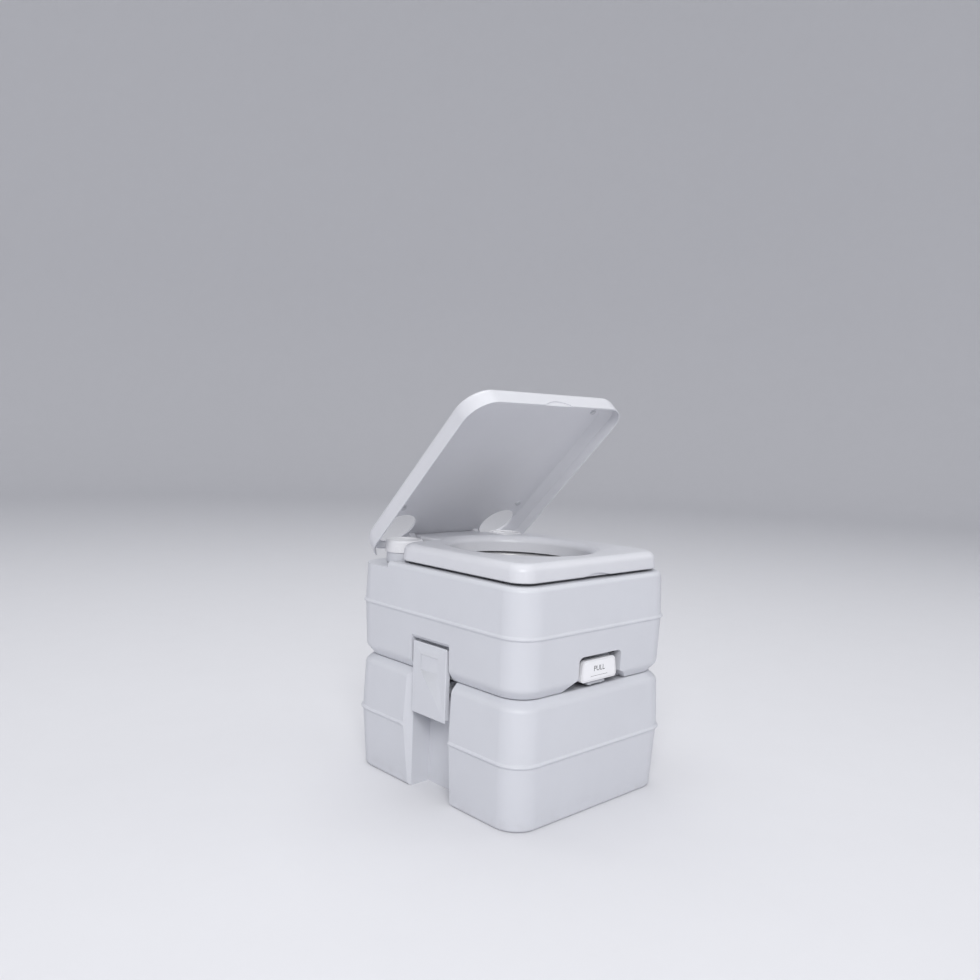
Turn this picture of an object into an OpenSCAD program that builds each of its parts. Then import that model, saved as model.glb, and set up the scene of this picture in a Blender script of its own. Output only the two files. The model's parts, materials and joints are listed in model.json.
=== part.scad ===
// Portable camp toilet: a waste tank below, a fresh-water tank with a bowl above,
// a hinged seat and lid, a slide valve, a hand pump, side latches and screw caps.
// Frame: millimetres, +Z up, front face towards -Y, origin at the centre of the base.

/* [Tanks] */
// Width of the tanks across their ribs, left to right
tank_w = 363; // [355:1:370]
// Depth of the tanks across their ribs, front to back
tank_d = 419; // [410:1:425]
// Radius of the tanks' upright corners
corner_r = 47; // [40:1:52]
// Height of the joint between the two tanks
seam_z = 197; // [195:0.5:199]
// Height of the fresh tank's top under the seat
top_z = 366; // [364:0.5:367]
// Height of the lower deck behind the seat
deck_z = 356; // [355:0.5:357]
// Thickness of the tanks' walls
wall = 3; // [2.5:0.1:3.5]

/* [Side channels] */
// Width of the upright channel in each side of the waste tank
channel_w = 103; // [98:1:106]
// Distance from the centre plane to the channel's back wall
channel_back = 132.5; // [128:0.5:136]

/* [Bowl] */
// Half width of the bowl's mouth
bowl_a = 121; // [116:1:123]
// Half length of the bowl's mouth
bowl_b = 138; // [132:1:140]
// Where the bowl's mouth is centred, front to back
bowl_y = -15; // [-18:1:-12]
// Radius of the bowl's outlet
outlet_r = 44; // [40:1:45]
// Where the outlet is, front to back
outlet_y = -55; // [-60:1:-50]

/* [Slide valve] */
// How far the blade slides to open
valve_travel = 105; // [100:1:106]
// Thickness of the blade
blade_t = 4; // [3.5:0.1:4.5]

/* [Hinge] */
// Height of the hinge line
hinge_z = 380; // [379.5:0.5:381]
// Where the hinge line is, front to back
hinge_y = 175; // [174:0.5:176]
// Radius of the hinge pins
pin_r = 4; // [3.5:0.1:4.2]
// How far the lid stands open at rest, in degrees
lid_open = 44.5; // [0:0.5:100]

/* [Seat and lid] */
// Width of the seat
seat_w = 333; // [328:1:336]
// Width of the lid
lid_w = 358; // [356:1:360]
// Radius of the round hole in each rear corner of the lid
lid_hole_r = 37; // [35:0.5:38]

/* [Pump and caps] */
// Distance of the pump and the filler from the centre plane
knob_x = 121; // [119:0.5:123]
// Where the pump and the filler are, front to back
knob_y = 148; // [146:0.5:149]
// Outer radius of the pump knob and of the filler cap
knob_r = 32.5; // [31.5:0.1:33]
// Travel of the pump knob
pump_travel = 14; // [10:1:14]
// Where the drain cap is, left to right
drain_x = 88; // [80:1:95]
// Height of the drain cap's centre
drain_z = 132; // [125:1:134]

/* [Hidden] */
$fn = 64;
eps = 0.01;
half_w = tank_w / 2;
half_d = tank_d / 2;
fit = 0.05;
channel_y = -3.5;
frame_bottom = seam_z;
blade_z = seam_z + 4.5;
frame_top = seam_z + 13;
tunnel_w = 132;
tunnel_top = seam_z + 39;
grip_top = seam_z + 53;
grip_w = 100;
outer_face = half_w - 3.5;
latch_half = 42;
latch_top = 247;
latch_bottom = 129;
latch_pin_x = half_w - 11;
latch_pin_z = 239;
latch_recess_x = 163;
latch_recess_half = 47.5;
latch_recess_top = 261;
lid_front = -198;
lid_back = 194;
lid_rim_z = 372;
lid_top_z = 405;
seat_front = -192;
seat_back = 110;
seat_bottom = 370.5;
seat_top = 399;
tongue_half = 80;
collar_top = 378;
knob_top = 397.5;
drain_y = half_d - 16;
vent_x = 24;
vent_z = 162;
pipe_z = 344;
riser_z = 284;
cylinder_z = 262;
piston_z = cylinder_z + 46 + pump_travel;
valve_screw_places = [for (side = [-1, 1]) for (y = [-150, -70, 2]) [side * 60.5, y]];
post_screw_offsets = [[-14, -7], [14, -7]];
seat_bumper_places = [for (side = [-1, 1]) for (y = [-160, 88]) [side * 147, y]];
lid_bumper_places = [for (side = [-1, 1]) for (y = [-160, 92]) [side * 138, y]];
strike_screw_heights = [157, 185];
step_y = 118;

// ---- shared shapes ----

// One ring of a box with round upright corners: w wide, from y0 to y1, at height z.
function box_ring(w, y0, y1, r, z, n = 5) = [
    for (corner = [[w / 2 - r, y1 - r, 0], [r - w / 2, y1 - r, 90],
            [r - w / 2, y0 + r, 180], [w / 2 - r, y0 + r, 270]])
        for (k = [0:n])
            [corner[0] + r * cos(corner[2] + 90 * k / n),
                corner[1] + r * sin(corner[2] + 90 * k / n), z]];

// One oval ring: half width a, half length b, centred at y, at height z.
function oval_ring(a, b, y, z, n = 36) = [
    for (k = [0:n - 1]) [a * cos(360 * k / n), y + b * sin(360 * k / n), z]];

// A closed solid through a list of rings with equal counts, lowest ring first.
module loft(rings) {
    n = len(rings[0]);
    last = len(rings) - 1;
    polyhedron(
        points = [for (ring = rings) for (p = ring) p],
        faces = concat(
            [[for (k = [0:n - 1]) k]],
            [for (i = [0:last - 1]) for (k = [0:n - 1])
                [i * n + k, (i + 1) * n + k, (i + 1) * n + (k + 1) % n, i * n + (k + 1) % n]],
            [[for (k = [n - 1:-1:0]) last * n + k]]));
}

// A closed solid through rings that run down the outside and back up the inside.
module loft_wall(rings) {
    n = len(rings[0]);
    m = len(rings);
    polyhedron(
        points = [for (ring = rings) for (p = ring) p],
        faces = [for (i = [0:m - 1]) for (k = [0:n - 1])
            [i * n + k, i * n + (k + 1) % n,
                ((i + 1) % m) * n + (k + 1) % n, ((i + 1) % m) * n + k]]);
}

// A tank ring, set in from the rib's outline by inset.
function tank_ring(inset, z, r = corner_r) =
    box_ring(tank_w - 2 * inset, inset - half_d, half_d - inset, r - inset / 2, z);

// A tube with its lower end at z.
module tube(r_out, r_in, z, h) {
    translate([0, 0, z])
        difference() {
            cylinder(r = r_out, h = h);
            translate([0, 0, -1]) cylinder(r = r_in, h = h + 2);
        }
}

// A rod along X from x0 to x1.
module rod_x(x0, x1, y, z, r) {
    translate([x0, y, z]) rotate([0, 90, 0]) cylinder(r = r, h = x1 - x0);
}

// A rod along Y from y0 to y1.
module rod_y(x, y0, y1, z, r) {
    translate([x, y0, z]) rotate([-90, 0, 0]) cylinder(r = r, h = y1 - y0);
}

// A box between two opposite corners.
module block(low, high) {
    translate(low) cube(high - low);
}

// A screw standing at its head's underside: head above, shank below.
module screw(head_r, head_h, shank_r, shank_l) {
    cylinder(r = head_r, h = head_h);
    translate([0, 0, -shank_l]) cylinder(r = shank_r, h = shank_l + eps);
}

// ---- waste tank ----

// Space taken out of both sides for the upright channels.
module channels(grow = 0) {
    for (side = [-1, 1])
        scale([side, 1, 1])
            block([channel_back - grow, channel_y - channel_w / 2 - grow, -5],
                [half_w + 10, channel_y + channel_w / 2 + grow, seam_z + 5]);
}

// The slanted edge on the rear block beside each channel.
module channel_bevels(grow = 0) {
    for (side = [-1, 1])
        scale([side, 1, 1])
            translate([0, channel_y + channel_w / 2, -5])
                linear_extrude(seam_z + 10)
                    polygon([[half_w - 13 - grow, -1], [half_w + 1, 20 + grow], [half_w + 1, -1]]);
}

// Round hollow in the rear wall around a fitting.
module rear_pocket(x, z, r, grow = 0) {
    rod_y(x, drain_y - 6 - grow, half_d + 5, z, r + grow);
}

module waste_outer() {
    difference() {
        loft([tank_ring(13, 0, 44), tank_ring(10, 1.5, 44), tank_ring(8, 5, 44),
            tank_ring(2.8, 98.4), tank_ring(0.5, 100.4), tank_ring(0, 102),
            tank_ring(0.5, 103.6), tank_ring(2.5, 105.6), tank_ring(4.4, 184),
            tank_ring(16.5, seam_z - 0.5)]);
        channels();
        channel_bevels();
        rear_pocket(drain_x, drain_z, 46);
        rear_pocket(vent_x, vent_z, 15);
    }
}

module waste_hollow() {
    difference() {
        loft([tank_ring(13.5, wall, 44), tank_ring(11.2, 7, 44), tank_ring(6.6, 96),
            tank_ring(6, 105), tank_ring(7.6, 182), tank_ring(17.5, seam_z - 0.5 - wall)]);
        channels(wall);
        channel_bevels(wall);
        rear_pocket(drain_x, drain_z, 46, wall);
        rear_pocket(vent_x, vent_z, 15, wall);
    }
}

module waste_tank() {
    color("#d3d5da")
        difference() {
            waste_outer();
            waste_hollow();
            translate([0, outlet_y, seam_z - 10]) cylinder(r = outlet_r + 4, h = 20);
            rod_y(drain_x, drain_y - 20, half_d + 5, drain_z, 30);
            rod_y(vent_x, drain_y - 20, half_d + 5, vent_z, 6);
            for (at = valve_screw_places)
                translate([at[0], at[1], seam_z - 10]) cylinder(r = 2.2, h = 20);
            for (side = [-1, 1])
                for (z = strike_screw_heights)
                    rod_x(side * channel_back - 5, side * channel_back + 5, channel_y, z, 2.2);
        }
}

// ---- fresh tank ----

// Space under the fresh tank for the slide valve and its handle.
module valve_tunnel(grow = 0) {
    block([-tunnel_w / 2 - grow, -half_d + 24 - grow, seam_z - 10],
        [tunnel_w / 2 + grow, 12 + grow, tunnel_top + grow]);
    block([-grip_w / 2 - grow, -half_d - 10, seam_z - 10],
        [grip_w / 2 + grow, -half_d + 30 + grow, grip_top + grow]);
    translate([0, -half_d - 10, 0])
        rotate([-90, 0, 0])
            linear_extrude(40 + grow)
                polygon([[-82 - grow, -seam_z + 4], [-58 - grow, -seam_z - 15 - grow],
                    [58 + grow, -seam_z - 15 - grow], [82 + grow, -seam_z + 4]]);
}

// Hollow for a latch plate in each side of the fresh tank, with a sloped top.
module latch_recesses(grow = 0) {
    for (side = [-1, 1])
        scale([side, 1, 1])
            translate([0, latch_recess_half + grow, 0])
                rotate([90, 0, 0])
                    linear_extrude(2 * (latch_recess_half + grow))
                        polygon([[latch_recess_x - grow, seam_z - 10],
                            [latch_recess_x - grow, 250.8 + grow],
                            [173.5, 250.8 + grow],
                            [half_w + 2, latch_recess_top + 2 + grow],
                            [half_w + 2, seam_z - 10]]);
}

// The lower deck behind the seat, around the bowl's raised rear end and the two knobs.
module rear_deck(grow = 0) {
    difference() {
        block([-half_w - 5, step_y - grow, deck_z - grow], [half_w + 5, half_d + 5, top_z + 5]);
        block([grow - 84, step_y - 10, deck_z - 10], [84 - grow, 140 - grow, top_z + 10]);
    }
    for (side = [-1, 1])
        translate([side * knob_x, knob_y, deck_z - grow]) cylinder(r = 36 + grow, h = top_z);
}

module fresh_outer() {
    difference() {
        loft([tank_ring(16.5, seam_z + 0.5), tank_ring(5.2, 213), tank_ring(2.5, 287.4),
            tank_ring(0.5, 289.4), tank_ring(0, 291), tank_ring(0.5, 292.6), tank_ring(2.2, 294.6),
            tank_ring(4, 359), tank_ring(6, 364), tank_ring(10, top_z)]);
        rear_deck();
        valve_tunnel();
        latch_recesses();
    }
}

module fresh_hollow() {
    difference() {
        loft([tank_ring(19.5, seam_z + 3.5), tank_ring(8.2, 215), tank_ring(5.6, 285),
            tank_ring(5.4, 297), tank_ring(7, 357), tank_ring(13, top_z - wall)]);
        rear_deck(wall);
        valve_tunnel(wall);
        latch_recesses(wall);
    }
}

// Straight oval cut through the top for the bowl.
module bowl_cut() {
    loft([oval_ring(bowl_a + 3.5, bowl_b + 3.5, bowl_y, top_z - 12),
        oval_ring(bowl_a + 3.5, bowl_b + 3.5, bowl_y, top_z + 5)]);
}

module fresh_tank() {
    color("#d7d9de")
        difference() {
            fresh_outer();
            fresh_hollow();
            bowl_cut();
            translate([0, outlet_y, tunnel_top - 5]) cylinder(r = outlet_r + 6.3, h = 20);
            for (side = [-1, 1])
                translate([side * knob_x, knob_y, deck_z - 10]) cylinder(r = 25.3, h = 20);
            for (side = [-1, 1])
                for (at = post_screw_offsets)
                    translate([side * 62 + at[0], hinge_y + at[1], deck_z - 10])
                        cylinder(r = 1.7, h = 20);
            for (side = [-1, 1])
                rod_y(side * latch_pin_x, -latch_recess_half - 4, latch_recess_half + 4,
                    latch_pin_z, 2 + fit);
        }
}

// ---- bowl and its seal ----

module bowl() {
    color("#e4e5e8")
        difference() {
            loft_wall([
                oval_ring(bowl_a, bowl_b, bowl_y, top_z + 2.5),
                oval_ring(bowl_a - 3, bowl_b - 3, bowl_y, top_z - 8),
                oval_ring(bowl_a - 9, bowl_b - 9, bowl_y - 2, top_z - 45),
                oval_ring(bowl_a - 34, bowl_b - 34, bowl_y - 14, top_z - 88),
                oval_ring(bowl_a - 62, bowl_b - 76, outlet_y + 8, top_z - 112),
                oval_ring(outlet_r, outlet_r, outlet_y, top_z - 124),
                oval_ring(outlet_r, outlet_r, outlet_y, frame_top + 1.5),
                oval_ring(outlet_r + 5, outlet_r + 5, outlet_y, frame_top + 1.5),
                oval_ring(outlet_r + 5, outlet_r + 5, outlet_y, top_z - 126),
                oval_ring(bowl_a - 58, bowl_b - 71, outlet_y + 8, top_z - 115),
                oval_ring(bowl_a - 30, bowl_b - 30, bowl_y - 14, top_z - 89),
                oval_ring(bowl_a - 5, bowl_b - 5, bowl_y - 2, top_z - 45),
                oval_ring(bowl_a + 2.5, bowl_b + 2.5, bowl_y, top_z - 8),
                oval_ring(bowl_a + 2.5, bowl_b + 2.5, bowl_y, top_z),
                oval_ring(bowl_a + 12, bowl_b + 12, bowl_y, top_z),
                oval_ring(bowl_a + 12, bowl_b + 12, bowl_y, top_z + 2.5)]);
            rod_y(0, 80, 135, pipe_z, 6.1);
        }
}

module outlet_seal() {
    color("#26282b")
        translate([0, outlet_y, 0])
            tube(outlet_r + 5, outlet_r, blade_z + blade_t + 0.3, frame_top - blade_z - blade_t + 1.2);
}

// ---- slide valve ----

module valve_frame() {
    color("#b9bcc2")
        difference() {
            union() {
                block([-64, -165, frame_bottom - 0.5], [64, 8, frame_bottom + 4]);
                block([-57, -165, frame_bottom + 4 - eps], [57, 8, frame_top]);
            }
            block([-52.4, -170, blade_z - 0.3], [52.4, 4, blade_z + blade_t + 0.3]);
            translate([0, outlet_y, frame_bottom - 5]) cylinder(r = outlet_r, h = 10);
            translate([0, outlet_y, blade_z]) cylinder(r = outlet_r + 5, h = 20);
            for (at = valve_screw_places)
                translate([at[0], at[1], frame_bottom - 5]) cylinder(r = 2.2, h = 20);
        }
}

module valve_screws() {
    color("#8d9095")
        for (at = valve_screw_places)
            translate([at[0], at[1], frame_bottom + 4]) screw(3.2, 2.2, 2, 12);
}

module valve_blade() {
    color("#eceded")
        difference() {
            union() {
                block([-52, outlet_y - 52, blade_z], [52, outlet_y + 50, blade_z + blade_t]);
                block([-20, -half_d + 12, blade_z], [20, outlet_y - 52 + eps, blade_z + blade_t]);
            }
            for (x = [-12, 12])
                translate([x, -half_d + 15, blade_z - 1]) cylinder(r = 1.7, h = blade_t + 2);
        }
}

module valve_handle() {
    color("#f4f5f6")
        difference() {
            union() {
                translate([0, -half_d + 14, 0])
                    rotate([90, 0, 0])
                        linear_extrude(7)
                            polygon([[-43, 208], [-38, 242], [38, 242], [43, 208]]);
                block([-30, -half_d + 13.9, blade_z + blade_t], [30, -half_d + 22, 212]);
            }
            block([-34, -half_d + 10.5, 213], [34, -half_d + 14 + eps, 239]);
            for (x = [-12, 12])
                translate([x, -half_d + 15, blade_z]) cylinder(r = 1.7, h = 9);
        }
}

module valve_label() {
    color("#fbfbfc")
        translate([0, -half_d + 7, 225])
            rotate([90, 0, 0])
                linear_extrude(0.6) polygon([[-38, -14], [-34.5, 14], [34.5, 14], [38, -14]]);
}

module handle_screws() {
    color("#8d9095")
        for (x = [-12, 12])
            translate([x, -half_d + 15, blade_z])
                rotate([180, 0, 0]) screw(3, 1.5, 1.6, 9);
}

// ---- hinge ----

module hinge_posts() {
    color("#cfd2d7")
        for (side = [-1, 1])
            difference() {
                union() {
                    block([side * 62 - 18, hinge_y - 12, deck_z],
                        [side * 62 + 18, hinge_y + 12, deck_z + 4]);
                    block([side * 62 - 6, hinge_y - 9, deck_z + 4 - eps],
                        [side * 62 + 6, hinge_y + 9, hinge_z]);
                    rod_x(side * 62 - 6, side * 62 + 6, hinge_y, hinge_z, 9);
                }
                rod_x(side * 62 - 20, side * 62 + 20, hinge_y, hinge_z, pin_r + fit);
                for (at = post_screw_offsets)
                    translate([side * 62 + at[0], hinge_y + at[1], deck_z - 1]) cylinder(r = 1.7, h = 10);
            }
}

module post_screws() {
    color("#8d9095")
        for (side = [-1, 1])
            for (at = post_screw_offsets)
                translate([side * 62 + at[0], hinge_y + at[1], deck_z + 4]) screw(2.8, 1.6, 1.5, 10);
}

module hinge_pins() {
    color("#c9ccd0")
        for (side = [-1, 1])
            scale([side, 1, 1]) {
                rod_x(25, 84.5, hinge_y, hinge_z, pin_r);
                rod_x(83.6, 86.5, hinge_y, hinge_z, 6);
            }
}

// ---- seat ----

module seat_outer() {
    loft([box_ring(seat_w - 2, seat_front + 1, seat_back, 29, seat_bottom),
        box_ring(seat_w, seat_front, seat_back, 30, seat_bottom + 1.5),
        box_ring(seat_w - 1, seat_front + 0.5, seat_back - 0.5, 30, 386),
        box_ring(seat_w - 5, seat_front + 2.5, seat_back - 1, 29, 392),
        box_ring(seat_w - 13, seat_front + 6.5, seat_back - 2, 27, 396.5),
        box_ring(seat_w - 26, seat_front + 13, seat_back - 4, 24, seat_top)]);
    block([-tongue_half, seat_back - 20, seat_bottom], [tongue_half, 158, seat_top]);
}

module seat_mouth(grow = 0) {
    loft([oval_ring(112 + grow, 130 + grow, bowl_y, seat_bottom - 1),
        oval_ring(112 + grow, 130 + grow, bowl_y, 388),
        oval_ring(115 + grow, 133 + grow, bowl_y, 394),
        oval_ring(121 + grow, 139 + grow, bowl_y, 397.5),
        oval_ring(130 + grow, 148 + grow, bowl_y, seat_top + 0.5)]);
}

module seat_hollow() {
    difference() {
        union() {
            loft([box_ring(seat_w - 8, seat_front + 4, seat_back - 4, 26, seat_bottom - 1),
                box_ring(seat_w - 9, seat_front + 4.5, seat_back - 4.5, 26, 384),
                box_ring(seat_w - 28, seat_front + 14, seat_back - 9, 22, 393)]);
            block([-tongue_half + 4, seat_back - 20, seat_bottom - 1], [tongue_half - 4, 154, 393]);
        }
        loft([oval_ring(117, 135, bowl_y, seat_bottom - 2),
            oval_ring(117, 135, bowl_y, 387),
            oval_ring(127, 145, bowl_y, 394)]);
    }
}

module seat() {
    color("#dfe1e5")
        difference() {
            union() {
                difference() {
                    seat_outer();
                    seat_hollow();
                }
                block([-69.5, 150, 391.5], [69.5, 183, seat_top]);
                for (side = [-1, 1])
                    scale([side, 1, 1]) {
                        rod_x(24, 54, hinge_y, hinge_z, 9);
                        block([24, 153, 376], [54, hinge_y, 386]);
                        block([24, hinge_y - 9, hinge_z], [54, hinge_y + 9, 392]);
                    }
                for (at = seat_bumper_places)
                    translate([at[0], at[1], seat_bottom + 1.5]) cylinder(r = 9, h = 22);
            }
            seat_mouth();
            rod_x(-60, 60, hinge_y, hinge_z, pin_r + fit);
            translate([0, seat_front - 5, seat_bottom - 94])
                rotate([-90, 0, 0]) cylinder(r = 99, h = 8);
            for (at = seat_bumper_places)
                translate([at[0], at[1], seat_bottom - 1]) cylinder(r = 4, h = 12);
        }
}

module seat_bumpers() {
    color("#3a3c40")
        for (at = seat_bumper_places)
            translate([at[0], at[1], 0]) {
                translate([0, 0, top_z]) cylinder(r = 8, h = seat_bottom + 1.5 - top_z);
                translate([0, 0, seat_bottom]) cylinder(r = 4, h = 8);
            }
}

// ---- lid, drawn shut and then turned open about the hinge line ----

module open_lid() {
    translate([0, hinge_y, hinge_z])
        rotate([-lid_open, 0, 0])
            translate([0, -hinge_y, -hinge_z]) children();
}

module lid_outer() {
    loft([box_ring(lid_w, lid_front, lid_back, 48, lid_rim_z),
        box_ring(lid_w - 1, lid_front + 0.5, lid_back - 0.5, 48, 393),
        box_ring(lid_w - 4, lid_front + 2, lid_back - 2, 47, 400),
        box_ring(lid_w - 10, lid_front + 5, lid_back - 5, 45, 403.6),
        box_ring(lid_w - 20, lid_front + 10, lid_back - 10, 42, lid_top_z)]);
}

module lid_hollow() {
    loft([box_ring(lid_w - 5, lid_front + 2.5, lid_back - 2.5, 46, lid_rim_z - 1),
        box_ring(lid_w - 12, lid_front + 3.5, lid_back - 3.5, 41, 388),
        box_ring(lid_w - 41, lid_front + 8, lid_back - 6, 30, 400.8),
        box_ring(lid_w - 48, lid_front + 12, lid_back - 7.5, 28, 401.8)]);
}

module lid() {
    color("#d9dbe0")
        open_lid()
            difference() {
                union() {
                    difference() {
                        lid_outer();
                        lid_hollow();
                        block([-158, 184, lid_rim_z - 2], [158, lid_back + 2, 391.5]);
                        block([-90, 184, lid_rim_z - 2], [90, lid_back + 2, 398.5]);
                    }
                    for (side = [-1, 1])
                        scale([side, 1, 1]) {
                            rod_x(71, 83, hinge_y, hinge_z, 9);
                            block([71, hinge_y - 9, hinge_z], [83, hinge_y + 9, 402.5]);
                        }
                    for (at = lid_bumper_places)
                        translate([at[0], at[1], 400.4]) cylinder(r = 6, h = 3);
                }
                for (side = [-1, 1])
                    translate([side * knob_x, knob_y + 1, lid_rim_z - 5]) cylinder(r = lid_hole_r, h = 50);
                rod_x(-90, 90, hinge_y, hinge_z, pin_r + fit);
            }
}

module lid_bumpers() {
    color("#c4c6ca")
        open_lid()
            for (at = lid_bumper_places)
                translate([at[0], at[1], seat_top + 0.2]) cylinder(r = 5, h = 400.4 - seat_top - 0.2);
}

// ---- hand pump, rear left ----

module at_pump() {
    translate([-knob_x, knob_y, 0]) children();
}

module at_filler() {
    translate([knob_x, knob_y, 0]) children();
}

module pump_cylinder() {
    color("#c3c6cb")
        difference() {
            at_pump() {
                tube(25, 21.5, cylinder_z, deck_z - cylinder_z + 1);
                tube(29, 21.5, deck_z, 3);
                tube(25, 6, cylinder_z - 3, 3 + eps);
            }
            rod_x(-knob_x + 15, -knob_x + 40, knob_y, riser_z, 6.1);
        }
}

module pump_collar() {
    color("#cdd0d5")
        at_pump() {
            tube(30, 24, deck_z + 3, collar_top - deck_z - 6);
            tube(30, 8.3, collar_top - 3 - eps, 3 + eps);
        }
}

module pump_knob() {
    color("#e6e8eb")
        at_pump()
            rotate_extrude()
                polygon([[0, knob_top - 4.5], [7.9, knob_top - 4.5], [9, knob_top - 4],
                    [30.4, knob_top - 3.5], [30.4, 376], [knob_r - 0.4, 376], [knob_r, 376.6],
                    [knob_r, knob_top - 2.4], [knob_r - 0.8, knob_top - 0.7],
                    [knob_r - 2.6, knob_top], [24, knob_top - 0.4], [10, knob_top - 1.6],
                    [0, knob_top - 2]]);
}

module pump_piston() {
    color("#b4b7bc")
        at_pump()
            rotate_extrude()
                polygon([[0, piston_z], [20.6, piston_z], [20.6, piston_z + 3],
                    [18.5, piston_z + 3], [18.5, piston_z + 7], [20.6, piston_z + 7],
                    [20.6, piston_z + 10], [8, piston_z + 10], [8, knob_top - 4.5],
                    [0, knob_top - 4.5]]);
}

module piston_seal() {
    color("#26282b") at_pump() tube(21.2, 18.5, piston_z + 3, 4);
}

module pump_spring() {
    color("#9a9da2")
        at_pump()
            tube(14.5, 11.5, collar_top, knob_top - 4 - collar_top);
}

module intake_valve() {
    color("#26282b") at_pump() translate([0, 0, cylinder_z + 0.05]) cylinder(r = 12, h = 2);
}

module flush_pipe() {
    color("#b9bcc2")
        difference() {
            union() {
                rod_x(-knob_x + 24, 0, knob_y, riser_z, 6);
                translate([0, knob_y, riser_z - 6]) cylinder(r = 6, h = pipe_z - riser_z + 12);
                rod_y(0, 122, knob_y, pipe_z, 6);
            }
            rod_x(-knob_x + 20, 0, knob_y, riser_z, 4.2);
            translate([0, knob_y, riser_z]) cylinder(r = 4.2, h = pipe_z - riser_z);
            rod_y(0, 120, knob_y, pipe_z, 4.2);
        }
}

module flush_nozzle() {
    color("#dfe1e4")
        difference() {
            rod_y(0, 104, 122, pipe_z, 6);
            rod_y(0, 110, 130, pipe_z, 4.2);
            block([-8, 105.5, pipe_z - 1.5], [8, 112, pipe_z + 1.5]);
        }
}

// ---- filler, rear right ----

module filler_neck() {
    color("#cdd0d5")
        at_filler() {
            tube(30, 23, deck_z, collar_top - deck_z);
            tube(25, 23, deck_z - 26, 26 + eps);
        }
}

module filler_cap() {
    color("#e6e8eb")
        at_filler() {
            rotate_extrude()
                polygon([[0, 381], [30.4, 381], [30.4, 376], [knob_r - 0.4, 376],
                    [knob_r, 376.6], [knob_r, knob_top - 2.4], [knob_r - 0.8, knob_top - 0.7],
                    [knob_r - 2.6, knob_top], [27.5, knob_top], [26.5, knob_top - 1],
                    [25.5, 385], [0, 384.4]]);
            intersection() {
                cylinder(r = 27, h = 500);
                block([-8, -30, 383], [8, 30, knob_top - 1]);
            }
        }
}

module filler_seal() {
    color("#26282b") at_filler() tube(29.5, 23.5, collar_top, 3);
}

// ---- side latches ----

module latch(side) {
    color("#dcdee2")
        scale([side, 1, 1])
            difference() {
                union() {
                    block([outer_face - 3.2, -latch_half, latch_bottom],
                        [outer_face, latch_half, latch_top]);
                    for (end = [-1, 1])
                        scale([1, end, 1])
                            block([outer_face - 9, latch_half - 3, latch_bottom + 4],
                                [outer_face - 3, latch_half, latch_top - 12]);
                    rod_y(latch_pin_x, -latch_half, latch_half, latch_pin_z, 5);
                    block([latch_pin_x, -latch_half, latch_pin_z - 5],
                        [outer_face - 1, latch_half, latch_pin_z + 5]);
                    block([158, -15, 161], [outer_face - 3, 15, 167.4]);
                }
                rod_y(latch_pin_x, -60, 60, latch_pin_z, 2 + fit);
            }
}

module latch_left() {
    latch(-1);
}

module latch_right() {
    latch(1);
}

module latch_pins() {
    color("#a9acb1")
        for (side = [-1, 1])
            rod_y(side * latch_pin_x, -latch_recess_half - 3, latch_recess_half + 3, latch_pin_z, 2);
}

module latch_strikes() {
    color("#c6c9ce")
        for (side = [-1, 1])
            difference() {
                scale([side, 1, 1]) {
                    block([channel_back, -22, 150], [channel_back + 4, 22, 192]);
                    block([channel_back + 4 - eps, -18, 168], [166, 18, 176]);
                    for (y = [-16, 12])
                        block([channel_back + 4 - eps, y, 176 - eps], [158, y + 4, 184]);
                }
                for (z = strike_screw_heights)
                    rod_x(side * channel_back - 6, side * channel_back + 6, channel_y, z, 2.2);
            }
}

module strike_screws() {
    color("#8d9095")
        for (side = [-1, 1])
            for (z = strike_screw_heights)
                translate([side * (channel_back + 4), channel_y, z])
                    rotate([0, side * 90, 0]) screw(3.6, 2, 2, 9);
}

// ---- drain, rear of the waste tank ----

module drain_neck() {
    color("#c3c6cb")
        difference() {
            union() {
                rod_y(drain_x, drain_y - 6, drain_y + 8, drain_z, 34);
                rod_y(drain_x, drain_y - 16, drain_y - 6 + eps, drain_z, 29.8);
            }
            rod_y(drain_x, drain_y - 20, drain_y + 20, drain_z, 27);
        }
}

module drain_cap() {
    color("#dfe1e5")
        translate([drain_x, 0, drain_z])
            rotate([-90, 0, 0]) {
                rotate_extrude()
                    polygon([[0, drain_y + 11], [34.4, drain_y + 11], [34.4, drain_y - 2],
                        [41, drain_y - 2], [42, drain_y - 1], [42, drain_y + 12.5],
                        [40, drain_y + 15], [36, drain_y + 15], [34, drain_y + 13.6],
                        [0, drain_y + 13.4]]);
                for (k = [0:23])
                    rotate([0, 0, 15 * k])
                        translate([41.6, -1.4, drain_y]) cube([1.4, 2.8, 11]);
                translate([-30, -4, drain_y + 13]) cube([60, 8, 3]);
            }
}

module drain_seal() {
    color("#26282b")
        translate([drain_x, 0, drain_z])
            rotate([-90, 0, 0]) tube(33.5, 27.5, drain_y + 8, 3);
}

// ---- vent, rear of the waste tank ----

module vent_housing() {
    color("#c3c6cb")
        translate([vent_x, 0, vent_z])
            rotate([-90, 0, 0]) {
                tube(13, 9.4, drain_y - 6, 18);
                tube(9.41, 5, drain_y - 6, 2);
                tube(5.9, 3.4, drain_y - 14, 8 + eps);
            }
}

module vent_button() {
    color("#4d8fc4")
        translate([vent_x, 0, vent_z])
            rotate([-90, 0, 0])
                rotate_extrude()
                    polygon([[0, drain_y - 18], [5.5, drain_y - 18], [5.5, drain_y - 16],
                        [3, drain_y - 16], [3, drain_y + 4], [9, drain_y + 4], [9, drain_y + 14],
                        [8, drain_y + 15], [0, drain_y + 15]]);
}

module vent_seal() {
    color("#26282b")
        translate([vent_x, 0, vent_z])
            rotate([-90, 0, 0]) tube(5.4, 3, drain_y - 16, 1.9);
}

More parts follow.
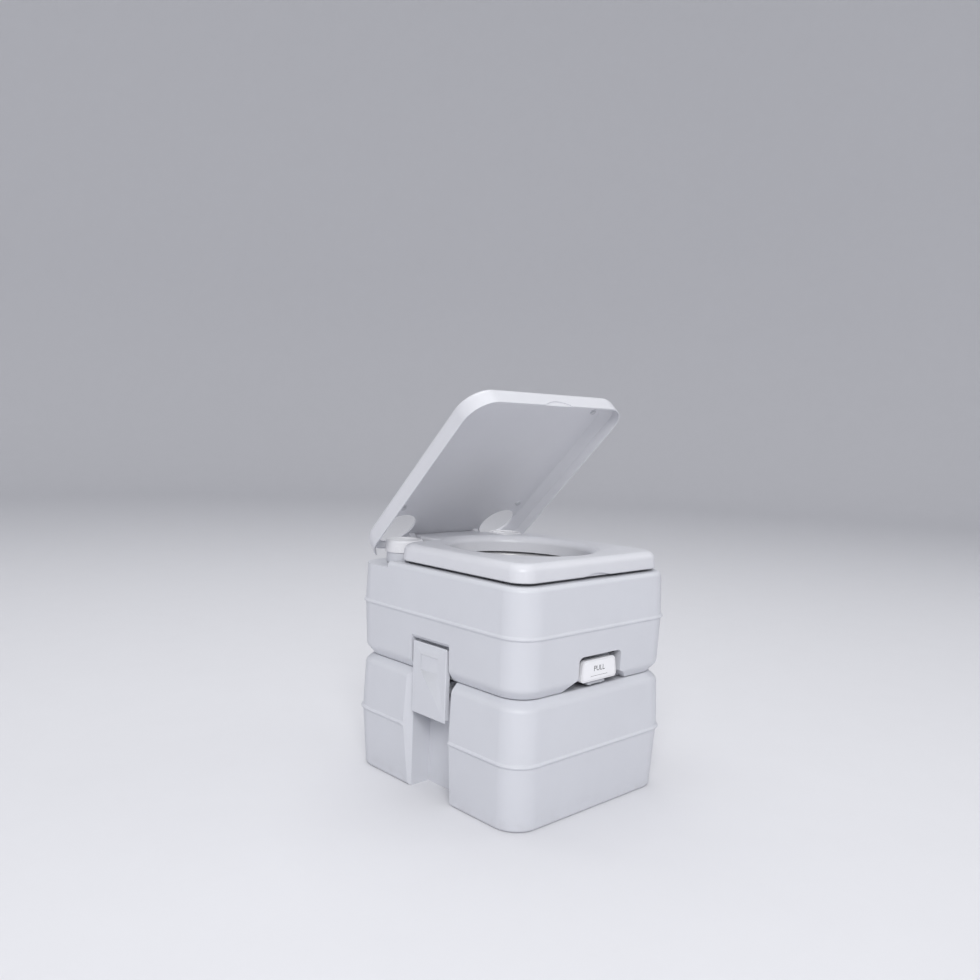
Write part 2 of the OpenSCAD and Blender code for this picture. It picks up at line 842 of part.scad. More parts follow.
module vent_spring() {
    color("#9a9da2")
        translate([vent_x, 0, vent_z])
            rotate([-90, 0, 0]) tube(7.2, 5.6, drain_y - 4, 4.8);
}

waste_tank();
fresh_tank();
bowl();
outlet_seal();
valve_frame();
valve_blade();
valve_handle();
valve_label();
valve_screws();
handle_screws();
hinge_posts();
hinge_pins();
post_screws();
seat();
seat_bumpers();
lid();
lid_bumpers();
pump_cylinder();
pump_collar();
pump_knob();
pump_piston();
piston_seal();
pump_spring();
intake_valve();
flush_pipe();
flush_nozzle();
filler_neck();
filler_cap();
filler_seal();
latch_left();
latch_right();
latch_pins();
latch_strikes();
strike_screws();
drain_neck();
drain_cap();
drain_seal();
vent_housing();
vent_button();
vent_seal();
vent_spring();
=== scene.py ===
"""The looks of a portable camp toilet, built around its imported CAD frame."""

import json
import logging
import math
from collections.abc import Sequence
from dataclasses import dataclass, field
from enum import Enum

import bmesh
import bpy
from mathutils import Matrix, Vector

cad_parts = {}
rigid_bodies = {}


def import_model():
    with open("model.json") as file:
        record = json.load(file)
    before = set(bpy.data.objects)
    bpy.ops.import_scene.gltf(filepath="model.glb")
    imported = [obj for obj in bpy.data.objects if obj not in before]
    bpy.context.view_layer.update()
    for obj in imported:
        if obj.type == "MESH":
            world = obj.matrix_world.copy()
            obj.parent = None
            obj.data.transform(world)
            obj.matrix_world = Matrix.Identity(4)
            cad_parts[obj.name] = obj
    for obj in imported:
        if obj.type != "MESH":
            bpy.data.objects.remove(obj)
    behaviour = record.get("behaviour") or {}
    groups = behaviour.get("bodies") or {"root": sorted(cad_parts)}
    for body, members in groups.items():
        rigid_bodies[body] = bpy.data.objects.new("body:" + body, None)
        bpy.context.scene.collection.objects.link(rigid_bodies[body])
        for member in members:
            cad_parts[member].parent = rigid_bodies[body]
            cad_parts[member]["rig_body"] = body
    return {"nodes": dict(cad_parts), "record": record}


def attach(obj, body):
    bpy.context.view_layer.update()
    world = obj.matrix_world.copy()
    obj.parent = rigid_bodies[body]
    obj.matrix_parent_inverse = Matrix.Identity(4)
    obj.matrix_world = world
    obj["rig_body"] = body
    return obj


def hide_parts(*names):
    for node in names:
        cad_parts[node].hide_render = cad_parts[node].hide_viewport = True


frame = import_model()

log = logging.getLogger("camp_toilet")

MM = 0.001
MERGE = 1e-6
HINGE = (175.0, 380.0)
PIN_BORE = 4.05
KNOB = (121.0, 148.0)
VALVE_Y = -55.0
DRAIN = (88.0, 132.0)
VENT = (24.0, 162.0)
Point = tuple[float, float, float]
Colour = tuple[float, float, float]


# ---------------------------------------------------------------- shapes


class Outline(Enum):
    """The level outline a body is grown from."""

    BOX = "box with round upright corners"
    OVAL = "oval"


class Side(Enum):
    """The side of the centre plane that a piece is on."""

    LEFT = -1
    RIGHT = 1


@dataclass(frozen=True)
class Ring:
    """One level outline of a moulded body, in millimetres."""

    half: float
    front: float
    back: float
    z: float

    def inset(self, by: float, z: float, sides: float | None = None) -> "Ring":
        """Gives this ring drawn in.

        Args:
            by: How far the front and back move in.
            z: The new ring's height.
            sides: How far the sides move in, or None for the same as by.

        Returns:
            The smaller ring.
        """
        across = by if sides is None else sides
        return Ring(self.half - across, self.front + by, self.back - by, z)


def round_over(ring: Ring, inset: float, top: float, steps: int = 8,
               sides: float | None = None) -> list[Ring]:
    """Follows a quarter of an oval up and in from a ring.

    Args:
        ring: The ring that the curve starts from.
        inset: How far the curve goes in at the front and back.
        top: The height where it ends.
        steps: How many rings it makes.
        sides: How far it goes in at the sides, or None for inset.

    Returns:
        The rings after the first, the last of them at the top.
    """
    across = inset if sides is None else sides
    rings = []
    for step in range(1, steps + 1):
        turn = math.pi / 2 * step / steps
        share = 1 - math.cos(turn)
        rings.append(ring.inset(inset * share, ring.z + (top - ring.z) * math.sin(turn),
                                across * share))
    return rings


class Loft:
    """A body grown from a level outline, one ring at a time."""

    def __init__(self, shape: Outline, rings: Sequence[Ring], corner: float = 0.0,
                 arc: int = 14) -> None:
        """Starts at the first ring and climbs through the rest.

        Args:
            shape: The outline to start from.
            rings: The rings in order.
            corner: The radius of a box outline's corners at the first ring.
            arc: The number of edges in each quarter.
        """
        self.bm = bmesh.new()
        self.rings = list(rings)
        start = self.rings[0]
        if shape is Outline.BOX:
            bmesh.ops.create_grid(self.bm, x_segments=1, y_segments=1, size=1.0)
        else:
            bmesh.ops.create_circle(self.bm, segments=4 * arc, radius=1.0)
        reach = max(abs(v.co.x) for v in self.bm.verts)
        bmesh.ops.scale(self.bm, verts=self.bm.verts,
                        vec=(start.half / reach, (start.back - start.front) / 2 / reach, 1))
        bmesh.ops.translate(self.bm, verts=self.bm.verts,
                            vec=(0, (start.back + start.front) / 2, start.z))
        if shape is Outline.BOX:
            bmesh.ops.bevel(self.bm, geom=list(self.bm.verts), offset=corner,
                            offset_type="OFFSET", affect="VERTICES", segments=arc,
                            profile=0.5, material=-1)
            bmesh.ops.delete(self.bm, geom=list(self.bm.faces), context="FACES_ONLY")
        self.first = list(self.bm.edges)
        self.last = self.first
        for now, then in zip(self.rings, self.rings[1:]):
            self._climb(now, then)

    def _climb(self, now: Ring, then: Ring) -> None:
        """Extrudes the last ring of edges to the next ring.

        Args:
            now: The ring that the edges are on.
            then: The ring that they go to.
        """
        grown = bmesh.ops.extrude_edge_only(self.bm, edges=self.last)["geom"]
        verts = [g for g in grown if isinstance(g, bmesh.types.BMVert)]
        fresh = set(verts)
        self.last = [g for g in grown if isinstance(g, bmesh.types.BMEdge)
                     and g.verts[0] in fresh and g.verts[1] in fresh]
        middle = Vector((0, (now.front + now.back) / 2, now.z))
        bmesh.ops.scale(self.bm, verts=verts, space=Matrix.Translation(-middle),
                        vec=(then.half / now.half,
                             (then.back - then.front) / (now.back - now.front), 1))
        bmesh.ops.translate(self.bm, verts=verts,
                            vec=(0, (then.front + then.back) / 2 - middle.y, then.z - now.z))

    def capped(self, name: str) -> bpy.types.Object:
        """Closes both ends and makes the object, called name."""
        for edges in (self.first, self.last):
            bmesh.ops.contextual_create(self.bm, geom=edges)
        return make(name, self.bm)

    def joined(self, name: str) -> bpy.types.Object:
        """Bridges the last ring to the first and makes the object, called name."""
        bmesh.ops.bridge_loops(self.bm, edges=self.first + self.last)
        return make(name, self.bm)


def in_scene(name: str, data: bpy.types.ID) -> bpy.types.Object:
    """Makes an object of some data and puts it in the scene.

    Args:
        name: The object's name.
        data: Its mesh, curve, light or camera.

    Returns:
        The object.
    """
    thing = bpy.data.objects.new(name, data)
    bpy.context.scene.collection.objects.link(thing)
    return thing


def from_bm(name: str, bm: bmesh.types.BMesh) -> bpy.types.Object:
    """Turns a mesh in metres into an object.

    Args:
        name: The object's and its mesh's name.
        bm: The mesh, which is freed.

    Returns:
        The object.
    """
    mesh = bpy.data.meshes.new(name)
    bm.to_mesh(mesh)
    bm.free()
    return in_scene(name, mesh)


def make(name: str, bm: bmesh.types.BMesh) -> bpy.types.Object:
    """Turns a closed mesh in millimetres into an object in metres.

    Args:
        name: The object's name.
        bm: The mesh, which is freed.

    Returns:
        The object, smooth shaded, with its faces outwards.
    """
    bmesh.ops.recalc_face_normals(bm, faces=bm.faces)
    bmesh.ops.scale(bm, verts=bm.verts, vec=(MM, MM, MM))
    for face in bm.faces:
        face.smooth = True
    return from_bm(name, bm)


def block(low: Point, high: Point, soft: float = 0.0, segments: int = 4,
          name: str = "block") -> bpy.types.Object:
    """Makes a box with round edges.

    Args:
        low: Its lowest corner.
        high: Its highest corner.
        soft: The radius of its edges.
        segments: The number of faces across each round edge.
        name: The object's name.

    Returns:
        The box.
    """
    bm = bmesh.new()
    bmesh.ops.create_cube(bm, size=1.0)
    size = Vector(high) - Vector(low)
    bmesh.ops.scale(bm, verts=bm.verts, vec=size)
    bmesh.ops.translate(bm, verts=bm.verts, vec=(Vector(high) + Vector(low)) / 2)
    if soft:
        bmesh.ops.bevel(bm, geom=list(bm.edges), offset=soft, offset_type="OFFSET",
                        affect="EDGES", segments=segments, profile=0.5, material=-1)
    return make(name, bm)


def side_block(side: Side, near: Point, far: Point, soft: float = 0.0,
               name: str = "block") -> bpy.types.Object:
    """Makes a box on one side of the centre plane.

    Args:
        side: The side.
        near: Its lowest corner if it were on the right.
        far: Its highest corner if it were on the right.
        soft: The radius of its edges.
        name: The object's name.

    Returns:
        The box.
    """
    left, right = sorted((side.value * near[0], side.value * far[0]))
    return block((left, *near[1:]), (right, *far[1:]), soft, name=name)


AXES = {"X": Matrix.Rotation(math.radians(90), 3, "Y"),
        "Y": Matrix.Rotation(math.radians(-90), 3, "X"),
        "Z": Matrix.Identity(3)}


def rod(axis: str, foot: Point, length: float, radius: float, soft: float = 0.0,
        segments: int = 96, tip: float | None = None,
        name: str = "rod") -> bpy.types.Object:
    """Makes a round bar along an axis.

    Args:
        axis: X, Y or Z.
        foot: The centre of the end that it starts from.
        length: Its length along the axis.
        radius: Its radius at the foot.
        soft: The radius of its end edges.
        segments: The number of faces round it.
        tip: Its radius at the far end, or None for the same.
        name: The object's name.

    Returns:
        The bar.
    """
    bm = bmesh.new()
    bmesh.ops.create_cone(bm, cap_ends=True, segments=segments, radius1=radius,
                          radius2=radius if tip is None else tip, depth=length)
    bmesh.ops.translate(bm, verts=bm.verts, vec=(0, 0, length / 2))
    if soft:
        rims = [e for e in bm.edges if abs(e.verts[0].co.z - e.verts[1].co.z) < MERGE]
        bmesh.ops.bevel(bm, geom=rims, offset=soft, offset_type="OFFSET", affect="EDGES",
                        segments=4, profile=0.5, material=-1)
    bmesh.ops.rotate(bm, verts=bm.verts, cent=(0, 0, 0), matrix=AXES[axis])
    bmesh.ops.translate(bm, verts=bm.verts, vec=foot)
    return make(name, bm)


def prism(points: Sequence[tuple[float, float]], axis: str, start: float, end: float,
          name: str = "prism") -> bpy.types.Object:
    """Extrudes an outline along an axis.

    Args:
        points: The outline, in the two other axes, in X, Y, Z order.
        axis: X, Y or Z.
        start: Where it starts along the axis.
        end: Where it ends.
        name: The object's name.

    Returns:
        The prism.
    """
    place = {"X": lambda a, b: (start, a, b), "Y": lambda a, b: (a, start, b),
             "Z": lambda a, b: (a, b, start)}[axis]
    along = {"X": (end - start, 0, 0), "Y": (0, end - start, 0), "Z": (0, 0, end - start)}[axis]
    bm = bmesh.new()
    face = bm.faces.new([bm.verts.new(place(*p)) for p in points])
    grown = bmesh.ops.extrude_face_region(bm, geom=[face], use_keep_orig=True)["geom"]
    bmesh.ops.translate(bm, vec=along,
                        verts=[g for g in grown if isinstance(g, bmesh.types.BMVert)])
    return make(name, bm)


def round_outline(points: Sequence[tuple[float, float]], radius: float,
                  arc: int = 6) -> list[tuple[float, float]]:
    """Rounds the corners of a flat outline.

    Args:
        points: The outline's corners.
        radius: How far from each corner its curve starts.
        arc: The number of edges across each corner.

    Returns:
        The rounded outline.
    """
    bm = bmesh.new()
    bm.faces.new([bm.verts.new((a, b, 0)) for a, b in points])
    bmesh.ops.bevel(bm, geom=list(bm.verts), offset=radius, offset_type="OFFSET",
                    affect="VERTICES", segments=arc, profile=0.5, material=-1)
    bm.faces.ensure_lookup_table()
    outline = [(v.co.x, v.co.y) for v in bm.faces[0].verts]
    bm.free()
    return outline


def turned(name: str, profile: Sequence[tuple[float, float]], centre: Point,
           axis: str = "Z", steps: int = 96) -> bpy.types.Object:
    """Turns a profile into a round piece.

    Args:
        name: The object's name.
        profile: Radius and height of each point. It closes on itself or on the axis.
        centre: Where height 0 is.
        axis: The axis of the piece: Z, or Y.
        steps: The number of faces round it.

    Returns:
        The round piece.
    """
    bm = bmesh.new()
    verts = [bm.verts.new((max(r, 0.0), 0, z)) for r, z in profile]
    pairs = list(zip(verts, verts[1:]))
    if profile[0][0] > 0 or profile[-1][0] > 0:
        pairs.append((verts[-1], verts[0]))
    edges = [bm.edges.new(pair) for pair in pairs]
    bmesh.ops.spin(bm, geom=verts + edges, cent=(0, 0, 0), axis=(0, 0, 1),
                   angle=math.tau, steps=steps, use_merge=True)
    bmesh.ops.remove_doubles(bm, verts=bm.verts, dist=1e-4)
    bmesh.ops.rotate(bm, verts=bm.verts, cent=(0, 0, 0), matrix=AXES[axis])
    bmesh.ops.translate(bm, verts=bm.verts, vec=centre)
    return make(name, bm)


def settle(thing: bpy.types.Object) -> None:
    """Makes a piece's modifiers part of its mesh.

    Args:
        thing: The piece.
    """
    bpy.context.view_layer.update()
    shaped = thing.evaluated_get(bpy.context.evaluated_depsgraph_get())
    mesh = bpy.data.meshes.new_from_object(shaped)
    old = thing.data
    thing.modifiers.clear()
    thing.data = mesh
    mesh.name = thing.name
    bpy.data.meshes.remove(old)


def shape(body: bpy.types.Object, add: Sequence[bpy.types.Object] = (),
          cut: Sequence[bpy.types.Object] = ()) -> bpy.types.Object:
    """Joins some solids to a body and then takes others out of it.

    Args:
        body: The body.
        add: The solids to join, which are used up.
        cut: The solids to take out, which are used up.

    Returns:
        The body.
    """
    for tools, operation in ((add, "UNION"), (cut, "DIFFERENCE")):
        for tool in tools:
            step = body.modifiers.new(tool.name, "BOOLEAN")
            step.operation = operation
            step.solver = "EXACT"
            step.object = tool
    settle(body)
    for tool in [*add, *cut]:
        mesh = tool.data
        bpy.data.objects.remove(tool)
        bpy.data.meshes.remove(mesh)
    merged = bmesh.new()
    merged.from_mesh(body.data)
    bmesh.ops.remove_doubles(merged, verts=merged.verts, dist=MERGE)
    bmesh.ops.dissolve_degenerate(merged, edges=merged.edges, dist=MERGE)
    for face in merged.faces:
        face.smooth = True
    merged.to_mesh(body.data)
    merged.free()
    return body


def soften(thing: bpy.types.Object, width: float, angle: float = 34.0,
           segments: int = 3) -> bpy.types.Object:
    """Rounds a piece's sharp edges, and keeps its flat faces flat in the light.

    Args:
        thing: The piece.
        width: The radius, in millimetres.
        angle: Only edges sharper than this many degrees are rounded.
        segments: The number of faces across each edge.

    Returns:
        The piece.
    """
    edge = thing.modifiers.new("soft_edges", "BEVEL")
    edge.limit_method = "ANGLE"
    edge.angle_limit = math.radians(angle)
    edge.width = width * MM
    edge.segments = segments
    edge.profile = 0.5
    edge.use_clamp_overlap = True
    edge.miter_outer = "MITER_ARC"
    flat = thing.modifiers.new("flat_faces", "WEIGHTED_NORMAL")
    flat.mode = "FACE_AREA"
    flat.weight = 80
    flat.keep_sharp = True
    return thing


# ---------------------------------------------------------------- finishes


@dataclass(frozen=True)
class Finish:
    """A surface finish made of noise patterns on the piece's own coordinates."""

    name: str
    colour: Colour
    roughness: float
    grain: float = 0.9
    grain_depth: float = 0.10
    wave_depth: float = 0.0
    mottle: float = 0.05
    metal: float = 0.0
    coat: float = 0.0
    brushed: bool = False
    scuffed: bool = False

    def material(self) -> bpy.types.Material:
        """Builds the finish's material, or gives the one already built."""
        found = bpy.data.materials.get(self.name)
        if found:
            return found
        made = bpy.data.materials.new(self.name)
        made.use_nodes = True
        made.diffuse_color = (*self.colour, 1)
        tree = made.node_tree
        shader = tree.nodes["Principled BSDF"]
        shader.inputs["Metallic"].default_value = self.metal
        shader.inputs["Coat Weight"].default_value = self.coat
        shader.inputs["Coat Roughness"].default_value = 0.18
        spot = self._mapping(tree)
        tone = self._noise(tree, spot, 11.0, 4.0)
        self._colour(tree, spot, tone, shader)
        self._roughness(tree, spot, shader)
        self._bump(tree, spot, shader)
        return made

    def _mapping(self, tree: bpy.types.NodeTree) -> bpy.types.NodeSocket:
        """Gives the piece's own coordinates, stretched for a brushed finish."""
        place = tree.nodes.new("ShaderNodeTexCoord")
        spread = tree.nodes.new("ShaderNodeMapping")
        spread.inputs["Scale"].default_value = (0.06, 1, 1) if self.brushed else (1, 1, 1)
        tree.links.new(place.outputs["Object"], spread.inputs["Vector"])
        return spread.outputs["Vector"]

    def _noise(self, tree: bpy.types.NodeTree, spot: bpy.types.NodeSocket, scale: float,
               detail: float) -> bpy.types.NodeSocket:
        """Adds a noise pattern.

        Args:
            tree: The material's nodes.
            spot: The coordinates.
            scale: The pattern's size, in waves to the metre.
            detail: The number of finer patterns on top of it.

        Returns:
            The pattern's value.
        """
        noise = tree.nodes.new("ShaderNodeTexNoise")
        noise.inputs["Scale"].default_value = scale
        noise.inputs["Detail"].default_value = detail
        noise.inputs["Roughness"].default_value = 0.55
        tree.links.new(spot, noise.inputs["Vector"])
        return noise.outputs["Fac"]

    def _range(self, tree: bpy.types.NodeTree, value: bpy.types.NodeSocket,
               limits: tuple[float, float, float, float]) -> bpy.types.NodeSocket:
        """Maps a value from one range to another: limits are from, from, to, to."""
        remap = tree.nodes.new("ShaderNodeMapRange")
        for socket, limit in zip(("From Min", "From Max", "To Min", "To Max"), limits):
            remap.inputs[socket].default_value = limit
        tree.links.new(value, remap.inputs["Value"])
        return remap.outputs["Result"]

    def _blend(self, tree: bpy.types.NodeTree, share: bpy.types.NodeSocket,
               first: Colour | bpy.types.NodeSocket, second: Colour) -> bpy.types.NodeSocket:
        """Mixes two colours by a share.

        Args:
            tree: The material's nodes.
            share: 0 for the first colour, 1 for the second.
            first: The first colour, or where it comes from.
            second: The second colour.

        Returns:
            The mixed colour.
        """
        mix = tree.nodes.new("ShaderNodeMix")
        mix.data_type = "RGBA"
        tree.links.new(share, mix.inputs["Factor"])
        if isinstance(first, bpy.types.NodeSocket):
            tree.links.new(first, mix.inputs["A"])
        else:
            mix.inputs[6].default_value = (*first, 1)
        mix.inputs[7].default_value = (*second, 1)
        return mix.outputs[2]

    def _colour(self, tree: bpy.types.NodeTree, spot: bpy.types.NodeSocket,
                tone: bpy.types.NodeSocket, shader: bpy.types.Node) -> None:
        """Adds the colour: a faint mottle, and scuffs low down where it is scuffed."""
        darker = tuple(c * (1 - self.mottle * 2) for c in self.colour)
        share = self._range(tree, tone, (0.35, 0.7, 0.0, 1.0))
        colour = self._blend(tree, share, self.colour, darker)
        if self.scuffed:
            split = tree.nodes.new("ShaderNodeSeparateXYZ")
            tree.links.new(spot, split.inputs["Vector"])
            low = self._range(tree, split.outputs["Z"], (0.0, 0.030, 1.0, 0.0))
            patch = self._range(tree, self._noise(tree, spot, 60.0, 8.0), (0.48, 0.72, 0.0, 0.14))
            both = tree.nodes.new("ShaderNodeMath")
            both.operation = "MULTIPLY"
            tree.links.new(low, both.inputs[0])
            tree.links.new(patch, both.inputs[1])
            mix = self._blend(tree, both.outputs[0], self.colour, (0.30, 0.28, 0.26))
            tree.links.new(colour, mix.node.inputs[6])
            colour = mix
        tree.links.new(colour, shader.inputs["Base Color"])

    def _roughness(self, tree: bpy.types.NodeTree, spot: bpy.types.NodeSocket,
                   shader: bpy.types.Node) -> None:
        """Adds uneven gloss, with faint rubbed patches."""
        rubbed = self._noise(tree, spot, 42.0, 6.0)
        low, high = self.roughness - 0.06, self.roughness + 0.08
        tree.links.new(self._range(tree, rubbed, (0.3, 0.7, low, high)),
                       shader.inputs["Roughness"])

    def _bump(self, tree: bpy.types.NodeTree, spot: bpy.types.NodeSocket,
              shader: bpy.types.Node) -> None:
        """Adds the mould's fine grain, and the slow waves of a blown wall."""
        grain = tree.nodes.new("ShaderNodeBump")
        grain.inputs["Strength"].default_value = self.grain_depth
        grain.inputs["Distance"].default_value = 0.0004
        tree.links.new(self._noise(tree, spot, 1000 / self.grain, 3.0), grain.inputs["Height"])
        if self.wave_depth:
            wave = tree.nodes.new("ShaderNodeBump")
            wave.inputs["Strength"].default_value = self.wave_depth
            wave.inputs["Distance"].default_value = 0.004
            tree.links.new(self._noise(tree, spot, 7.0, 1.0), wave.inputs["Height"])
            tree.links.new(wave.outputs["Normal"], grain.inputs["Normal"])
        tree.links.new(grain.outputs["Normal"], shader.inputs["Normal"])


BLOWN = Finish("blown_tank_plastic", (0.655, 0.665, 0.705), 0.42, grain=1.1,
               grain_depth=0.16, wave_depth=0.10, mottle=0.012, scuffed=True)
MOULDED = Finish("moulded_seat_plastic", (0.70, 0.705, 0.74), 0.34, grain=0.9,
                 grain_depth=0.08, wave_depth=0.05, mottle=0.012)
PANEL = Finish("moulded_latch_plastic", (0.66, 0.67, 0.71), 0.42, grain=0.8,
               grain_depth=0.14, mottle=0.012)
GLAZED = Finish("polished_bowl_plastic", (0.60, 0.60, 0.61), 0.20, grain=2.0,
                grain_depth=0.03, mottle=0.015, coat=0.25)
WHITE = Finish("white_cap_plastic", (0.80, 0.80, 0.82), 0.30, grain=0.8,
               grain_depth=0.06, mottle=0.012)
INNER = Finish("plain_inner_plastic", (0.52, 0.53, 0.56), 0.48, grain=0.8,
               grain_depth=0.15, mottle=0.02)
FILM = Finish("label_film", (0.90, 0.90, 0.92), 0.32, grain=0.5, grain_depth=0.03,
              mottle=0.008)
INK = Finish("label_ink", (0.035, 0.037, 0.042), 0.5, grain=0.4, grain_depth=0.05,
             mottle=0.1)
RUBBER = Finish("black_seal_rubber", (0.022, 0.023, 0.025), 0.62, grain=0.5,
                grain_depth=0.25, mottle=0.12)
BUMPER = Finish("grey_bumper_rubber", (0.20, 0.21, 0.22), 0.68, grain=0.5,
                grain_depth=0.25, mottle=0.08)
SILICONE = Finish("pale_bumper_silicone", (0.56, 0.57, 0.60), 0.5, grain=0.5,
                  grain_depth=0.1, mottle=0.03)
STEEL = Finish("stainless_steel", (0.56, 0.57, 0.58), 0.30, grain=0.5, grain_depth=0.12,
               mottle=0.05, metal=1.0, brushed=True)
BUTTON = Finish("vent_button_plastic", (0.33, 0.35, 0.39), 0.36, grain=0.8,
                grain_depth=0.06, mottle=0.02)
BACKDROP = Finish("studio_paper", (0.76, 0.76, 0.785), 0.85, grain=4.0, grain_depth=0.02,
                  mottle=0.004)

SLOT_FINISH = {
    "tank_plastic": BLOWN,
    "seat_plastic": MOULDED,
    "latch_plastic": PANEL,
    "bowl_plastic": GLAZED,
    "white_plastic": WHITE,
    "inner_plastic": INNER,
    "label": FILM,
    "black_rubber": RUBBER,
    "grey_rubber": BUMPER,
    "pale_rubber": SILICONE,
    "pin_steel": STEEL,
    "screw_steel": STEEL,
    "vent_plastic": BUTTON,
}


def dress(thing: bpy.types.Object, finish: Finish) -> None:
    """Gives a piece its finish.

    Args:
        thing: The piece.
        finish: The finish.
    """
    thing.data.materials.clear()
    thing.data.materials.append(finish.material())


def place(thing: bpy.types.Object, body: str, slot: str, nodes: Sequence[str] = (),
          finish: Finish | None = None) -> bpy.types.Object:
    """Finishes a piece, puts it on its body and logs it.

    Args:
        thing: The piece.
        body: The CAD body that it moves with.
        slot: The record's material slot.
        nodes: The CAD nodes that it stands for.
        finish: Its finish, or None for the slot's own.

    Returns:
        The piece.
    """
    dress(thing, finish or SLOT_FINISH[slot])
    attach(thing, body)
    if nodes:
        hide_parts(*nodes)
    log.info("%s rides on %s", thing.name, body)
    return thing


# ---------------------------------------------------------------- the tanks


@dataclass
class Tanks:
    """The waste tank and the fresh-water tank that stands on it."""

    half_w: float = 181.5
    half_d: float = 209.5
    corner: float = 42.0
    top: float = 366.0
    deck: float = 356.0
    channel_back: float = 132.5
    channel: tuple[float, float] = (-55.0, 48.0)
    rear_y: float = 193.5

    def ring(self, inset: float, z: float) -> Ring:
        """Gives the outline at height z, drawn in from the ribs by inset."""
        return Ring(self.half_w - inset, inset - self.half_d, self.half_d - inset, z)

    def bead(self, z: float, below: float, above: float) -> list[Ring]:
        """Gives the rings of the rib round a tank.

        Args:
            z: The rib's height.
            below: The wall's inset under it.
            above: The wall's inset over it.

        Returns:
            The rings, lowest first.
        """
        shape_ = ((below, -4.6), (below * 0.93, -3.6), (below * 0.72, -2.8), (below * 0.36, -2.0),
                  (0.25, -1.2), (0.0, -0.4), (0.0, 0.4), (0.25, 1.2), (above * 0.36, 2.0),
                  (above * 0.72, 2.8), (above * 0.93, 3.6), (above, 4.6))
        return [self.ring(inset, z + rise) for inset, rise in shape_]

    def build(self) -> None:
        """Builds both tanks."""
        self._waste()
        self._fresh()

    def _waste(self) -> None:
        """Builds the lower tank with its channels, pockets and inside."""
        foot = self.ring(13, 0)
        shoulder = self.ring(4.7, 180)
        rings = [foot, self.ring(11.2, 0.5), self.ring(9.8, 1.5), self.ring(8.8, 3.0),
                 self.ring(8.2, 5.5), *self.bead(102, 2.8, 2.5), shoulder,
                 self.ring(5.4, 183.6), self.ring(7.0, 186.6), self.ring(9.2, 189.2),
                 self.ring(15.0, 194.9), self.ring(16.6, 196.1), self.ring(18.2, 196.5)]
        tank = Loft(Outline.BOX, rings, self.corner).capped("waste_tank_shell")
        low, high = self.channel
        cuts = [block((-126, -190, 4), (126, 168, 190), 12, name="inside"),
                rod("Z", (0, VALVE_Y, 150), 80, 48, name="outlet"),
                rod("Y", (DRAIN[0], 150, DRAIN[1]), 90, 30, name="drain_bore"),
                rod("Y", (DRAIN[0], self.rear_y - 6, DRAIN[1]), 40, 46, name="drain_pocket"),
                rod("Y", (VENT[0], self.rear_y - 6, VENT[1]), 40, 15, name="vent_pocket"),
                rod("Y", (VENT[0], 150, VENT[1]), 90, 6, name="vent_bore")]
        for side in Side:
            s = side.value
            cuts.append(side_block(side, (self.channel_back, low, -6), (200, high, 206),
                                   name="channel"))
            inner_x, outer_x = s * (self.half_w - 13), s * (self.half_w + 3)
            cuts.append(prism([(inner_x, high - 1), (outer_x, high + 22), (outer_x, high - 1)],
                              "Z", -6, 206, name="channel_slope"))
        place(soften(shape(tank, cut=cuts), 2.4), "tanks", "tank_plastic", ["waste_tank"])

    def _fresh(self) -> None:
        """Builds the upper tank with its rear deck, tunnel and recesses."""
        edge = self.ring(4.0, 358.5)
        rings = [self.ring(18.2, 197.5), self.ring(16.6, 197.9), self.ring(15.2, 199.0),
                 self.ring(8.2, 208.4), self.ring(6.4, 211.2), self.ring(5.3, 214.6),
                 self.ring(5.1, 218.0), *self.bead(291, 2.5, 2.2), edge,
                 *round_over(edge, 7.0, self.top, 7)]
        tank = Loft(Outline.BOX, rings, self.corner).capped("fresh_tank_shell")
        cuts = [block((-158, -194, 241), (158, 112, 362), 8, name="inside_front"),
                block((-158, 100, 241), (158, 188, 352.5), 8, name="inside_back"),
                Loft(Outline.OVAL, [Ring(124.5, -156.5, 126.5, 350), Ring(124.5, -156.5, 126.5, 380)],
                     arc=24).capped("bowl_hole"),
                rod("Z", (0, VALVE_Y, 226), 30, 50.3, name="outlet"),
                block((-66, -185.5, 187), (66, 12, 236), 3, name="tunnel"),
                block((-84, 140, self.deck), (84, 220, 400), name="deck_middle"),
                prism(round_outline([(-50, 170), (-50, 250), (50, 250), (50, 170)], 9),
                      "Y", -230, -179.5, name="grip"),
                prism([(-84, 190), (-82, 193), (-60, 211), (-48, 216), (48, 216), (60, 211),
                       (82, 193), (84, 190)], "Y", -230, -179.5, name="grip_flare")]
        for side in Side:
            s = side.value
            cuts += [
                side_block(side, (84, 118, self.deck), (200, 220, 400), name="deck"),
                rod("Z", (s * KNOB[0], KNOB[1], self.deck), 40, 36, name="well"),
                rod("Z", (s * KNOB[0], KNOB[1], 340), 30, 25.3, name="knob_hole"),
                prism([(s * 163, 187), (s * 163, 250.8), (s * 173.5, 250.8), (s * 183.5, 263),
                       (s * 183.5, 187)], "Y", -47.5, 47.5, name="latch_recess")]
        place(soften(shape(tank, cut=cuts), 2.2), "tanks", "tank_plastic", ["fresh_tank"])


